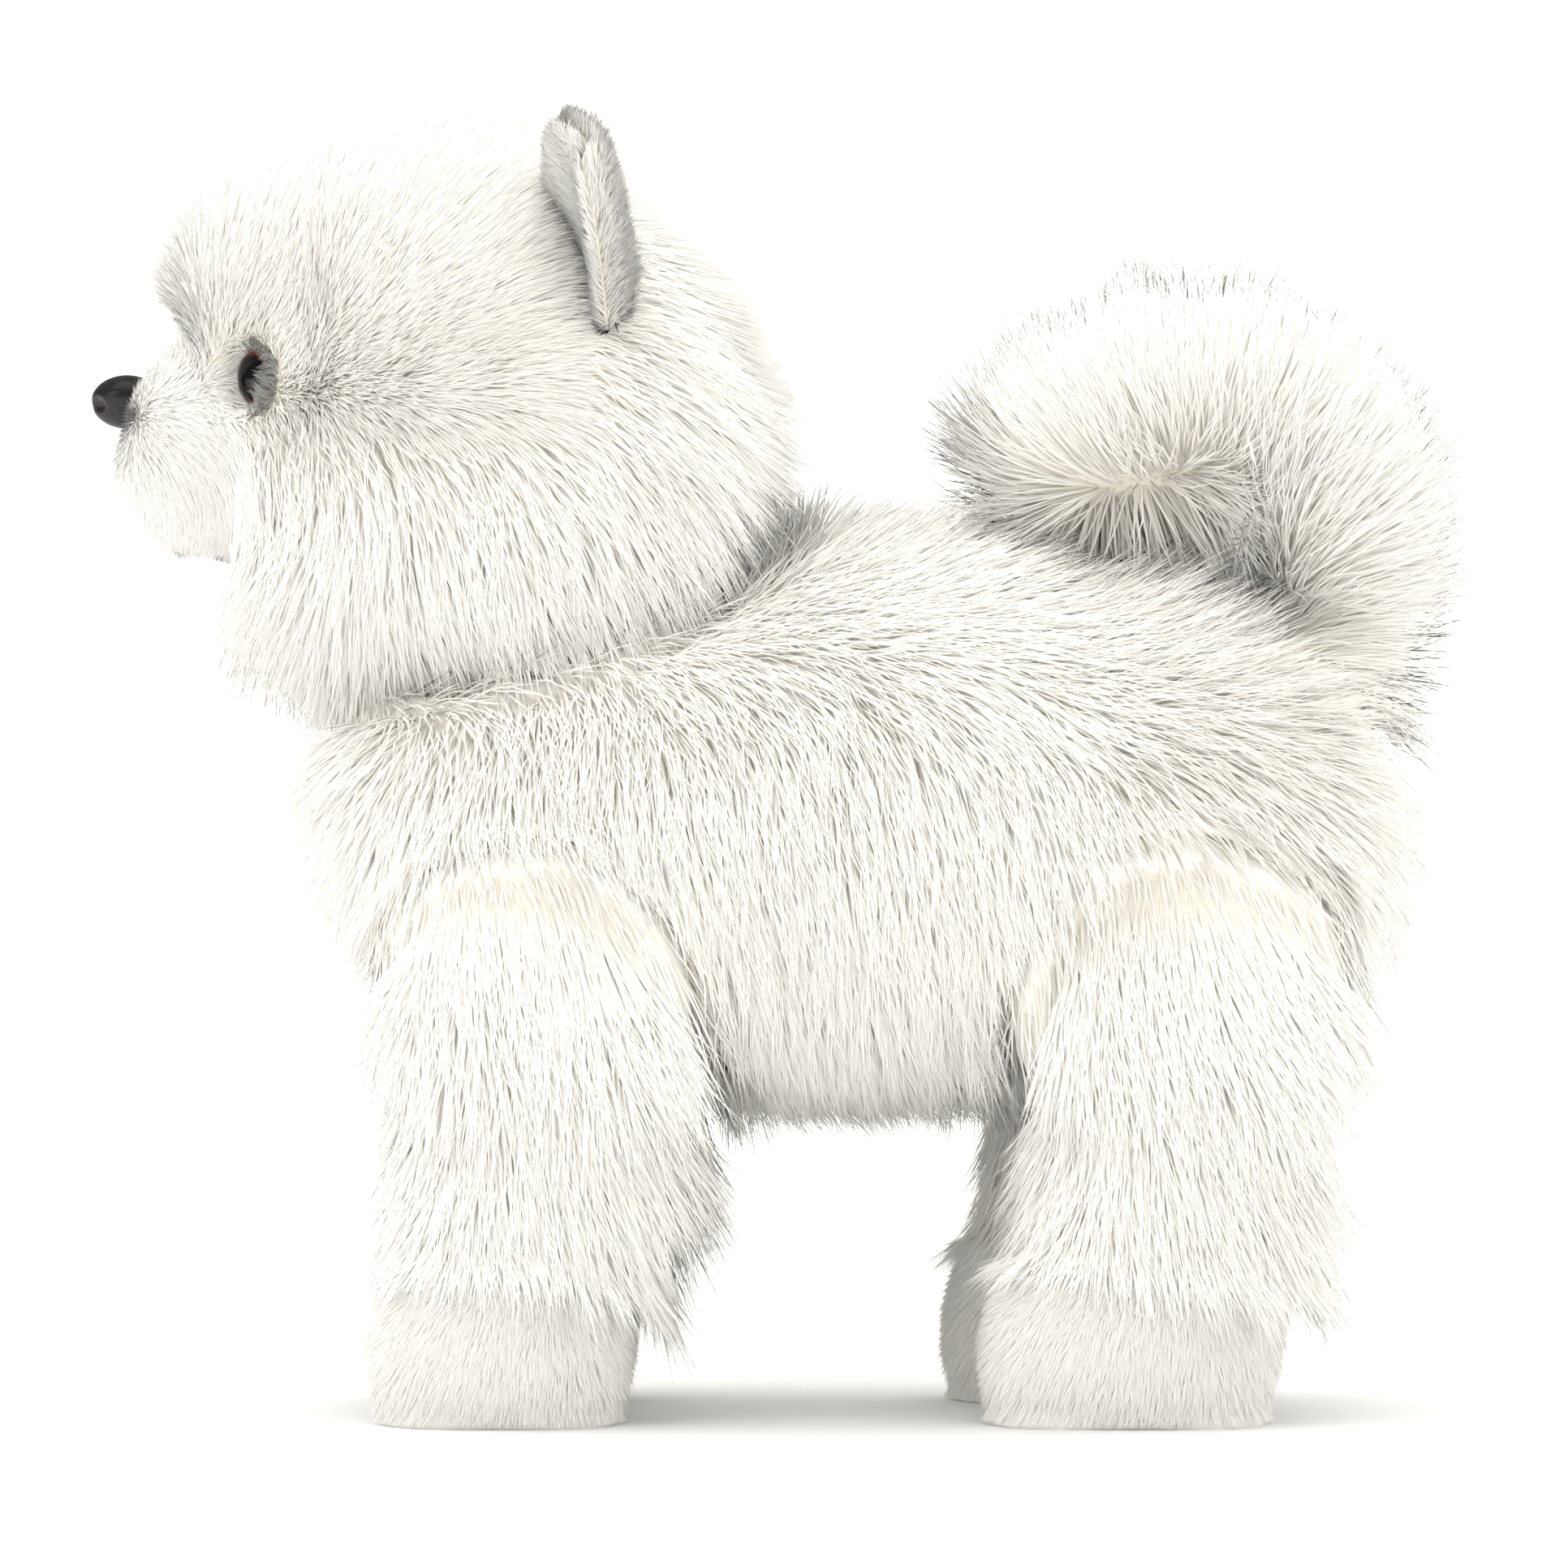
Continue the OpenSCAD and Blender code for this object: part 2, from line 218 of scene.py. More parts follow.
def puff(form):
    """Blows the cloth bag up against its own stretch, as its filling does."""
    before = coords(form.data)
    cloth = form.modifiers.new("filling", "CLOTH")
    cloth.settings.use_pressure = True
    cloth.settings.uniform_pressure_force = filling_pressure
    cloth.settings.quality = 4
    cloth.settings.mass = 0.3
    cloth.settings.tension_stiffness = 20
    cloth.settings.compression_stiffness = 20
    cloth.settings.shear_stiffness = 8
    cloth.settings.bending_stiffness = 0.5
    cloth.settings.effector_weights.gravity = 0
    cloth.collision_settings.use_collision = False
    for at in range(1, 21):
        bpy.context.scene.frame_set(at)
    after = coords(form.evaluated_get(bpy.context.evaluated_depsgraph_get()).data)
    form.modifiers.remove(cloth)
    bpy.context.scene.frame_set(1)
    move = after - before
    length = np.linalg.norm(move, axis=1, keepdims=True)
    move *= np.minimum(1, most_swell / np.maximum(length, 1e-9))
    move = spread(form.data, move, 2)
    form.data.vertices.foreach_set("co", (before + move).ravel())
    form.data.update()


def stuffed_form(name, nodes, neighbours, sink, voxel=4 * MM, rounds=6, reach=6 * MM):
    """One closed cloth bag from CAD nodes. sink(points) says how deep the cloth lies under
    the CAD's outside, and what is within reach of a neighbour is marked as hidden."""
    bm = bmesh.new()
    for node in nodes:
        bm.from_mesh(frame["nodes"][node].data)
    bmesh.ops.remove_doubles(bm, verts=bm.verts, dist=0.01 * MM)
    mesh = bpy.data.meshes.new(name)
    bm.to_mesh(mesh)
    bm.free()
    raw = new_object(name, mesh)
    remesh = raw.modifiers.new("cloth", "REMESH")
    remesh.mode = "VOXEL"
    remesh.voxel_size = voxel
    even = bpy.data.meshes.new_from_object(raw.evaluated_get(bpy.context.evaluated_depsgraph_get()))
    bpy.data.objects.remove(raw)
    form = new_object(name, even)
    near = node_tree_of(neighbours)
    places = coords(even)
    hidden = np.array([near.find_nearest(Vector(p), reach)[3] is not None for p in places], float)
    close = spread(even, hidden, 2)
    for _ in range(2):
        places = spread(even, places, rounds // 2)
    even.vertices.foreach_set("co", places.ravel())
    even.update()
    depth = sink(places) * (1 - close)
    soft_normals = spread(even, normals(even), 4)
    soft_normals /= np.maximum(np.linalg.norm(soft_normals, axis=1, keepdims=True), 1e-9)
    places = places - soft_normals * depth[:, None]
    even.vertices.foreach_set("co", places.ravel())
    even.update()
    puff(form)
    set_attribute(even, "hidden", hidden)
    for p in even.polygons:
        p.use_smooth = True
    return form


# ---- Pile -------------------------------------------------------------------
# Faux fur: fine fibres knitted into a backing cloth, combed one way and clinging in small
# locks. One Geometry Nodes tree grows them on any panel, from how the panel is combed.


class Field:
    """A value inside a node tree, which adds, scales and combines like a number."""

    def __init__(self, tree, socket, vector=False):
        self.tree, self.socket, self.vector = tree, socket, vector

    def join(self, operation, other=None):
        vector = self.vector or getattr(other, "vector", False)
        node = self.tree.nodes.new("ShaderNodeVectorMath" if vector else "ShaderNodeMath")
        node.operation = operation
        self.tree.links.new(self.socket, node.inputs[0])
        if other is not None:
            slot = node.inputs["Scale"] if operation == "SCALE" else node.inputs[1]
            if isinstance(other, Field):
                self.tree.links.new(other.socket, slot)
            else:
                slot.default_value = other
        single = vector and operation in ("DOT_PRODUCT", "LENGTH", "DISTANCE")
        return Field(self.tree, node.outputs["Value" if single else 0], vector and not single)

    def __add__(self, other):
        return self.join("ADD", other)

    def __sub__(self, other):
        return self.join("SUBTRACT", other)

    def __mul__(self, other):
        if self.vector and not (isinstance(other, Field) and other.vector or isinstance(other, tuple)):
            return self.join("SCALE", other)
        if not self.vector and isinstance(other, Field) and other.vector:
            return other.join("SCALE", self)
        return self.join("MULTIPLY", other)

    def __pow__(self, other):
        return self.join("POWER", other)

    def unit(self):
        return self.join("NORMALIZE")

    def dot(self, other):
        return self.join("DOT_PRODUCT", other)

    def cross(self, other):
        return self.join("CROSS_PRODUCT", other)


def pile_tree():
    """Fibres on a combed panel, which carries comb, pile, lay, warm and cover at its points."""
    tree = bpy.data.node_groups.new("grow_pile", "GeometryNodeTree")
    tree.interface.new_socket("Panel", in_out="OUTPUT", socket_type="NodeSocketGeometry")
    tree.interface.new_socket("Panel", in_out="INPUT", socket_type="NodeSocketGeometry")
    for name, kind, value in (
        ("Fibre shape", "Object", None),
        ("Fibres a square metre", "Float", 1.5e6),
        ("Fibre width", "Float", 0.0005),
        ("Uneven length", "Float", 0.3),
        ("Lock size", "Float", 0.009),
        ("Lock grip", "Float", 0.6),
        ("Fine lock grip", "Float", 0.3),
        ("Wave", "Float", 0.25),
        ("Frizz", "Float", 0.12),
        ("Droop", "Float", 0.2),
        ("Seed", "Int", 1),
        ("Pile material", "Material", None),
    ):
        socket = tree.interface.new_socket(name, in_out="INPUT", socket_type="NodeSocket" + kind)
        if value is not None:
            socket.default_value = value
    entry = tree.nodes.new("NodeGroupInput")
    link = tree.links.new

    def given(name):
        return Field(tree, entry.outputs[name])

    def read(name, vector=False):
        node = tree.nodes.new("GeometryNodeInputNamedAttribute")
        node.data_type = "FLOAT_VECTOR" if vector else "FLOAT"
        node.inputs["Name"].default_value = name
        return Field(tree, node.outputs["Attribute"], vector)

    def store(geometry, name, value, kind="FLOAT_VECTOR", domain="POINT"):
        node = tree.nodes.new("GeometryNodeStoreNamedAttribute")
        node.data_type = kind
        node.domain = domain
        node.inputs["Name"].default_value = name
        link(geometry, node.inputs["Geometry"])
        link(value.socket, node.inputs["Value"])
        return node.outputs["Geometry"]

    def joined(x, y, z=0.0):
        node = tree.nodes.new("ShaderNodeCombineXYZ")
        for slot, value in zip(node.inputs, (x, y, z)):
            if isinstance(value, Field):
                link(value.socket, slot)
            else:
                slot.default_value = value
        return Field(tree, node.outputs[0], True)

    def parts(vector):
        node = tree.nodes.new("ShaderNodeSeparateXYZ")
        link(vector.socket, node.inputs[0])
        return [Field(tree, out) for out in node.outputs]

    def chance(low, high, seed_shift, vector=False):
        node = tree.nodes.new("FunctionNodeRandomValue")
        node.data_type = "FLOAT_VECTOR" if vector else "FLOAT"
        slots = [s for s in node.inputs if s.enabled]
        slots[0].default_value = (low,) * 3 if vector else low
        slots[1].default_value = (high,) * 3 if vector else high
        link((given("Seed") + float(seed_shift)).socket, node.inputs["Seed"])
        out = [s for s in node.outputs if s.enabled][0]
        return Field(tree, out, vector)

    scatter = tree.nodes.new("GeometryNodeDistributePointsOnFaces")
    scatter.distribute_method = "RANDOM"
    link(entry.outputs["Panel"], scatter.inputs["Mesh"])
    link((given("Fibres a square metre") * read("cover")).socket, scatter.inputs["Density"])
    link(entry.outputs["Seed"], scatter.inputs["Seed"])
    here = tree.nodes.new("GeometryNodeInputPosition")
    points = store(scatter.outputs["Points"], "root", Field(tree, here.outputs[0], True))
    points = store(points, "out", Field(tree, scatter.outputs["Normal"], True))
    points = store(points, "stray", chance(-1, 1, 1, vector=True))
    points = store(points, "luck", chance(0, 1, 2), "FLOAT")

    pick = tree.nodes.new("GeometryNodeObjectInfo")
    link(entry.outputs["Fibre shape"], pick.inputs["Object"])
    here_again = tree.nodes.new("GeometryNodeInputPosition")
    fibre = store(pick.outputs["Geometry"], "along", Field(tree, here_again.outputs[0], True))
    plant = tree.nodes.new("GeometryNodeInstanceOnPoints")
    link(points, plant.inputs["Points"])
    link(fibre, plant.inputs["Instance"])
    real = tree.nodes.new("GeometryNodeRealizeInstances")
    link(plant.outputs["Instances"], real.inputs["Geometry"])

    side, rise, t = parts(read("along", True))
    root, out, comb = read("root", True), read("out", True), read("comb", True)
    stray, luck = read("stray", True), read("luck")
    lay = read("lay")
    length = read("pile") * (luck * given("Uneven length") * -1.0 + 1.0)
    t2 = t * t

    start = (out * (lay * -1.0 + 1.0) + comb * lay).unit()
    down = joined(0.0, 0.0, given("Droop") * -1.0)
    finish = (comb * (lay * 1.5) + out * (lay * -1.0 + 1.0) + down).unit()
    bend = start * t + (finish - start) * (t2 * 0.5)

    def lock_pull(size, grip):
        cells = tree.nodes.new("ShaderNodeTexVoronoi")
        cells.inputs["Scale"].default_value = 1.0
        cells.inputs["Randomness"].default_value = 1.0
        link((root * (size ** -1.0)).socket, cells.inputs["Vector"])
        centre = Field(tree, cells.outputs["Position"], True) * size
        across = centre - root
        across = across - out * (across.dot(out) * 0.8)
        return across * (t2 * grip)

    big_lock = given("Lock size")
    locks = lock_pull(big_lock, given("Lock grip")) + lock_pull(big_lock * 0.35, given("Fine lock grip"))
    noise = tree.nodes.new("ShaderNodeTexNoise")
    noise.inputs["Scale"].default_value = 1.0
    noise.inputs["Detail"].default_value = 2.0
    link((root * ((big_lock * 3.0) ** -1.0)).socket, noise.inputs["Vector"])
    wave = (Field(tree, noise.outputs["Color"], True) - (0.5, 0.5, 0.5)) * (given("Wave") * t * 2.0)
    frizz = stray * (given("Frizz") * t2)
    line = root + (bend + wave + frizz) * length + locks
    across = finish.cross(out + stray * 0.4).unit()
    width = given("Fibre width")
    x, y, z = parts(line + across * (side * width) + across.cross(finish) * (rise * width))
    on_floor = joined(x, y, z.join("MAXIMUM", 0.0004))
    shape = tree.nodes.new("GeometryNodeSetPosition")
    link(real.outputs["Geometry"], shape.inputs["Geometry"])
    link(on_floor.socket, shape.inputs["Position"])

    # Colour runs up each fibre from root to tip; the darker, creamier root end is partly painted shade deep in
    # the pile.
    warm = (read("warm") + (luck - 0.5) * 0.3) * 0.9 + 0.05
    uv = joined(warm, t * 0.96 + 0.02)
    fibres = store(shape.outputs["Geometry"], "OFBake", uv, "FLOAT2", "CORNER")
    # The backing takes the darker root colour where the pile covers it, as painted shade, and a whiter one
    # where it is bare.
    bald = read("cover") * -1.0 + 1.0
    backing_uv = joined(read("warm") * 0.5, bald * 0.8 + 0.02)
    backing = store(entry.outputs["Panel"], "OFBake", backing_uv, "FLOAT2", "CORNER")
    both = tree.nodes.new("GeometryNodeJoinGeometry")
    link(fibres, both.inputs[0])
    link(backing, both.inputs[0])
    dressed = tree.nodes.new("GeometryNodeSetMaterial")
    link(both.outputs[0], dressed.inputs["Geometry"])
    link(entry.outputs["Pile material"], dressed.inputs["Material"])
    exit_node = tree.nodes.new("NodeGroupOutput")
    link(dressed.outputs["Geometry"], exit_node.inputs[0])
    return tree


def fibre_shape(name, rows):
    """A three-sided tapering fibre, one unit long up Z and one unit wide, of a few joints."""
    points, faces = [], []
    for i in range(rows):
        half = 0.5 * (1 - 0.55 * (i / rows) ** 2)
        points += [(-half, 0, i / rows), (0, 1.4 * half, i / rows), (half, 0, i / rows)]
    points.append((0, 0, 1))
    tip = len(points) - 1
    for i in range(rows):
        for low, high in ((0, 1), (1, 2), (2, 0)):
            a, b = 3 * i + low, 3 * i + high
            faces.append((a, b, b + 3, a + 3) if i < rows - 1 else (a, b, tip))
    mesh = bpy.data.meshes.new(name)
    mesh.from_pydata(points, [], faces)
    return bpy.data.objects.new(name, mesh)


def new_material(name):
    made = bpy.data.materials.new(name)
    made.use_nodes = True
    return made, made.node_tree, made.node_tree.nodes["Principled BSDF"]


def colour_steps(tree, source, steps):
    """A colour that follows the source through its (place, colour) steps."""
    node = tree.nodes.new("ShaderNodeValToRGB")
    elements = node.color_ramp.elements
    for element, (place, colour) in zip(elements, (steps[0], steps[-1])):
        element.position, element.color = place, (*colour, 1)
    for place, colour in steps[1:-1]:
        elements.new(place).color = (*colour, 1)
    tree.links.new(source, node.inputs[0])
    return node.outputs[0]


def pile_material(name, roots, shade, tips, warm_tips):
    """White fibres, creamier and darker toward the root, from the fibre's own root-to-tip map: the
    root end is partly the fibre's cream tint and partly painted shade deep in the pile. They are
    thicker and fewer than real ones, so they let most of the scattered light and the shadow through."""
    made, tree, surface = new_material(name)
    surface.inputs["Roughness"].default_value = 0.55
    surface.inputs["Specular IOR Level"].default_value = 0.15
    surface.inputs["Sheen Weight"].default_value = 0.15
    surface.inputs["Sheen Roughness"].default_value = 0.4
    place = tree.nodes.new("ShaderNodeUVMap")
    place.uv_map = "OFBake"
    split = tree.nodes.new("ShaderNodeSeparateXYZ")
    tree.links.new(place.outputs[0], split.inputs[0])
    mix = tree.nodes.new("ShaderNodeMix")
    mix.data_type = "RGBA"
    tree.links.new(split.outputs["X"], mix.inputs["Factor"])
    slots = [s for s in mix.inputs if s.enabled and s.name in ("A", "B")]
    for tip, slot in zip((tips, warm_tips), slots):
        # The darker, creamier root colour is partly the fibre's own tint and partly painted shade deep in the
        # pile.
        steps = ((0.0, roots), (0.4, shade), (0.85, tip))
        tree.links.new(colour_steps(tree, split.outputs["Y"], steps), slot)
    blended = [s for s in mix.outputs if s.enabled][0]
    tree.links.new(blended, surface.inputs["Base Color"])
    solid = less_for_rays(tree, ("Is Shadow Ray", "Is Diffuse Ray"), 1.0, 0.75)
    tree.links.new(solid, surface.inputs["Alpha"])
    return made


grow = pile_tree()
long_fibre = fibre_shape("long_fibre", 2)
short_fibre = fibre_shape("short_fibre", 1)
# Root, middle and tip colours; the darker root colours are partly painted shade deep in the pile.
long_pile = pile_material(
    "long_pile_fur", (0.96, 0.915, 0.80), (0.975, 0.955, 0.90), (0.985, 0.98, 0.955), (0.98, 0.96, 0.90)
)
short_pile = pile_material(
    "short_pile_fur", (0.965, 0.94, 0.87), (0.975, 0.96, 0.92), (0.985, 0.98, 0.95), (0.98, 0.965, 0.915)
)
pile_notes = ("root", "out", "stray", "luck", "along", "comb", "pile", "lay", "warm", "cover", "hidden")


def panel(name, form, keep, body, slot, material, fibre, replaces=(), seed=1, **settings):
    """Cuts a panel out of a form, grows its pile, and fixes it to its body."""
    mesh = form.data.copy()
    mesh.name = name
    bm = bmesh.new()
    bm.from_mesh(mesh)
    centres = np.array([f.calc_center_median() for f in bm.faces])
    wanted = keep(centres)
    bmesh.ops.delete(bm, geom=[f for f, w in zip(bm.faces, wanted) if not w], context="FACES")
    bm.to_mesh(mesh)
    bm.free()
    mesh.vertices.foreach_set("co", (coords(mesh) + normals(mesh) * 0.3 * MM).ravel())
    bed = new_object(name + "_bed", mesh)
    growth = bed.modifiers.new("pile", "NODES")
    growth.node_group = grow
    values = {"Fibre shape": fibre, "Pile material": material, "Seed": seed, **settings}
    for item in grow.interface.items_tree:
        if item.in_out == "INPUT" and item.name in values:
            growth[item.identifier] = values[item.name]
    made = bpy.data.meshes.new_from_object(bed.evaluated_get(bpy.context.evaluated_depsgraph_get()))
    made.name = name
    bpy.data.objects.remove(bed)
    made.shade_smooth()
    soften = get_attribute(made, "out") + 0.3 * get_attribute(made, "stray")
    soften += normals(made) * (np.abs(soften).sum(1, keepdims=True) == 0)
    soften /= np.maximum(np.linalg.norm(soften, axis=1, keepdims=True), 1e-6)
    made.normals_split_custom_set_from_vertices(soften.tolist())
    for attribute in pile_notes:
        if attribute in made.attributes:
            made.attributes.remove(made.attributes[attribute])
    piece = new_object(name, made)
    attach(piece, body)
    if replaces:
        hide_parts(*replaces)


# How flat tucked-in fibres lie, and how much of the pile is left out where nothing shows
flattest_lay, thinning = 0.85, 0.9


def comb_form(form, rule, tuck=1.0):
    """Stores how a form's panels are combed. rule gives comb, pile, lay and warm from places and
    normals, and tuck is how flat the fibres lie where the form meets its neighbours."""
    mesh = form.data
    hidden = get_attribute(mesh, "hidden")
    places, outward = coords(mesh) / MM, normals(mesh)
    comb, pile, lay, warm = rule(places, outward)
    comb = comb - outward * (comb * outward).sum(1, keepdims=True)
    comb = spread(mesh, comb, 3)
    comb /= np.maximum(np.linalg.norm(comb, axis=1, keepdims=True), 1e-6)
    set_attribute(mesh, "comb", comb)
    ones = np.ones(len(places))
    set_attribute(mesh, "pile", pile * MM * ones)
    rim = np.clip(spread(mesh, hidden.astype(float), 5) * 1.6, 0, 1)
    set_attribute(mesh, "lay", lay * (1 - tuck * rim) + flattest_lay * tuck * rim)
    set_attribute(mesh, "warm", warm * ones)
    set_attribute(mesh, "cover", 1 - thinning * hidden)


def ramp(x, low, high):
    return np.clip((x - low) / (high - low), 0, 1)


def blend_fields(a, b, share):
    """Goes from one field of directions to another by each point's share."""
    return a * (1 - share[:, None]) + b * share[:, None]


def flow(*direction):
    return np.array([direction], float)


# ---- Torso ------------------------------------------------------------------
# A stuffed bag in long-pile fur: a left and a right side sewn along the back, and a belly
# panel between them. The coat is combed back along the spine, then down the flanks.
leg_names = [f"{end}_{side}" for end in ("front", "hind") for side in SIDES]
leg_nodes = [f"{leg}_leg_{face}" for leg in leg_names for face in ("outer", "inner")]
cloth_depth = 7 * MM
head_nodes = ["head_side_left", "head_side_right", "head_crown"]
torso = stuffed_form(
    "torso_bag",
    ["torso_side_left", "torso_side_right", "belly_panel", "torso_stuffing"],
    head_nodes + leg_nodes + ["tail_side_left", "tail_side_right", "tail_stuffing", "neck_stuffing"],
    lambda p: np.full(len(p), cloth_depth),
)


dock_x, dock_z = -112, 192


def torso_coat(p, n):
    x, y, z = p.T
    top = ramp(n[:, 2], 0.2, 0.9)
    back = flow(-0.9, 0, -0.1) + np.stack([0 * y, np.sign(y) * 0.35, 0 * y], 1)
    comb = blend_fields(flow(-0.25, 0, -1.0) + 0 * p, back, top)
    chest = ramp(x, 70, 105) * (1 - top)
    comb = blend_fields(comb, flow(0.0, 0, -1.0) + 0 * p, chest)
    rump = ramp(x, -135, -155)
    comb = blend_fields(comb, flow(-0.3, 0, -1.0) + 0 * p, rump)
    dock = ramp(np.hypot(x - dock_x, z - dock_z), 44, 24)
    pile = 28 - 3 * top - 4 * ramp(-n[:, 2], 0.6, 0.9) + 12 * dock - 4 * rump
    lay = 0.5 - 0.1 * top - 0.15 * dock + 0.05 * rump
    warm = 0.35 + 0.4 * ramp(z, 110, 190)
    return comb, pile, lay, warm


tuck_by_height = 1 - 0.6 * ramp(coords(torso.data)[:, 2] / MM, 150, 175)
comb_form(torso, torso_coat, tuck=tuck_by_height)
torso_nap = {"Fibres a square metre": 0.75e6, "Fibre width": 0.0006, "Lock size": 0.009, "Lock grip": 0.28,
             "Fine lock grip": 0.25, "Wave": 0.3, "Frizz": 0.16, "Uneven length": 0.35}
belly_half, belly_top, middle_x = 22 * MM, 112 * MM, -25 * MM


def in_belly(c):
    return (abs(c[:, 1]) < belly_half) & (c[:, 2] < belly_top)


for side, sign in SIDES.items():
    for part, fore in (("fore", 1), ("rear", -1)):
        panel(
            f"torso_pile_{side}_{part}", torso,
            lambda c: (c[:, 1] * sign > 0) & ((c[:, 0] - middle_x) * fore > 0) & ~in_belly(c),
            "torso", "long_pile", long_pile, long_fibre,
            replaces=(f"torso_side_{side}",), seed=11 + fore + 3 * sign, **torso_nap,
        )
panel(
    "belly_pile", torso, in_belly, "torso", "long_pile", long_pile, long_fibre,
    replaces=("belly_panel",), seed=5, **torso_nap,
)
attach(torso, "torso")
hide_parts("torso_stuffing")

# ---- Head -------------------------------------------------------------------
# A round stuffed head: two cheek and ruff panels in long pile, a crown panel in a
# shorter one, and a short-pile muzzle and chin sewn to its front.
muzzle_nodes = ["muzzle_left", "muzzle_right", "chin"]


def head_sink(p):
    return (6 - 3.5 * ramp(p[:, 0] / MM, 118, 134)) * MM


head = stuffed_form(
    "head_bag",
    head_nodes + muzzle_nodes + ["head_stuffing"],
    ["torso_side_left", "torso_side_right"],
    head_sink,
    voxel=3 * MM,
    rounds=4,
)
eye_half, eye_out = 7.0, 1.2
eye_turn = math.radians(37)
eye_aims, eye_fronts = {}, {}
for side, sign in SIDES.items():
    lens_low, lens_high = (np.array(c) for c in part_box(f"eye_lens_{side}"))
    base_low, base_high = (np.array(c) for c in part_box(f"eye_base_{side}"))
    eye_aims[side] = Vector((math.cos(eye_turn), sign * math.sin(eye_turn), 0))
    fore = base_high[0] - eye_half * MM * math.sin(eye_turn)
    outer = max(abs(base_low[1]), abs(base_high[1])) - eye_half * MM * math.cos(eye_turn)
    middle = Vector((fore, sign * outer, (lens_low[2] + lens_high[2]) / 2))
    eye_fronts[side] = middle + eye_aims[side] * eye_out * MM
nose_low, nose_high = (np.array(c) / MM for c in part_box("nose"))
nose_centre = np.array([nose_high[0], 0, (nose_low[2] + nose_high[2]) / 2])


muzzle_ring, muzzle_x, muzzle_z, mouth = 31, 127, 243, 230
crown_half, crown_low, cheek_rear, cheek_low = 20, 262, 48, 244
eye_bare, nose_bare = 6.1, 6.4


def off_axis(p, start, aim):
    """How far each point lies from a line, and the way from the line to it."""
    reach = p - start
    across = reach - (reach @ aim)[:, None] * aim
    far = np.linalg.norm(across, axis=1)
    return far, across / np.maximum(far, 1e-6)[:, None]


def off_eye(p, side):
    """How far each point of one side lies from that side's eye, and the way out from it."""
    far, outward = off_axis(p, np.array(eye_fronts[side]) / MM, np.array(eye_aims[side]))
    return far, outward, p[:, 1] * SIDES[side] > 0


def head_coat(p, n):
    x, y, z = p.T
    away = (p - np.array([0, 0, 244.0])) * np.array([0, 1, 0.8])
    away = away / np.maximum(np.linalg.norm(away, axis=1, keepdims=True), 8) * 0.7 - np.array([1.0, 0, 0])
    comb = blend_fields(away, flow(-0.45, 0, -1.0) + 0 * p, ramp(z, 262, 222))
    throat = ramp(x, 84, 112) * ramp(z, 236, 222)
    comb = blend_fields(comb, flow(0.25, 0, -1.0) + 0 * p, throat)
    mane = ramp(x, 52, 28)
    comb = blend_fields(comb, flow(-0.5, 0, -1.0) + 0 * p, mane * ramp(z, 325, 290))
    muzzle = ramp(x, 126, 132) * ramp(np.hypot(y, z - muzzle_z), 33, 29)
    long_part = np.maximum(ramp(z, 262, 230), mane)
    brow = ramp(x, 100, 125) * ramp(z, 262, 275)
    pile = 11.5 + 15 * long_part + 6 * mane + 10 * throat + 2 * brow
    pile = pile * (1 - muzzle) + 7 * muzzle
    lay = 0.42 + 0.06 * long_part - 0.12 * throat * (1 - muzzle) + 0.12 * muzzle
    for side in SIDES:
        far, outward, on_side = off_eye(p, side)
        near = ramp(far, 13, 8) * on_side
        rear = ramp(-outward[:, 0], 0.2, 0.8)
        comb = blend_fields(comb, outward, near * 0.7)
        pile = pile * (1 - near) + (3.5 + 2 * rear) * near
    far, outward = off_axis(p, nose_centre, np.array([1.0, 0, 0]))
    near = ramp(far, 14, 9) * ramp(x, 140, 150)
    pile = pile * (1 - near) + 4.5 * near
    lips = ramp(abs(z - 229 - 0.12 * (x - 145)), 2.4, 0.8) * ramp(x, 130, 136)
    pile = pile * (1 - 0.55 * lips)
    warm = 0.3 + 0.3 * ramp(x, 110, 70) * ramp(z, 235, 265) + 0.6 * lips
    return comb, pile, lay, warm


places = coords(head.data) / MM
bare = np.zeros(len(places))
for side in SIDES:
    far, _, on_side = off_eye(places, side)
    bare[(far < eye_bare) & on_side & (places[:, 0] > 100)] = 1
far, _ = off_axis(places, nose_centre, np.array([1.0, 0, 0]))
bare[(far < nose_bare) & (places[:, 0] > 145)] = 1
head_hidden = np.maximum(get_attribute(head.data, "hidden"), bare)
head.data.attributes.remove(head.data.attributes["hidden"])
set_attribute(head.data, "hidden", head_hidden)
comb_form(head, head_coat, tuck=0.4)
head.data.attributes.remove(head.data.attributes["cover"])
set_attribute(head.data, "cover", (1 - thinning * head_hidden) * (1 - bare))


def on_muzzle(c):
    return (c[:, 0] > muzzle_x * MM) & (np.hypot(c[:, 1], c[:, 2] - muzzle_z * MM) < muzzle_ring * MM)


def on_crown(c):
    return (abs(c[:, 1]) < crown_half * MM) & (c[:, 2] > crown_low * MM) & ~on_muzzle(c)


def on_cheek(c):
    return (c[:, 0] > cheek_rear * MM) & (c[:, 2] > cheek_low * MM) & ~on_crown(c) & ~on_muzzle(c)


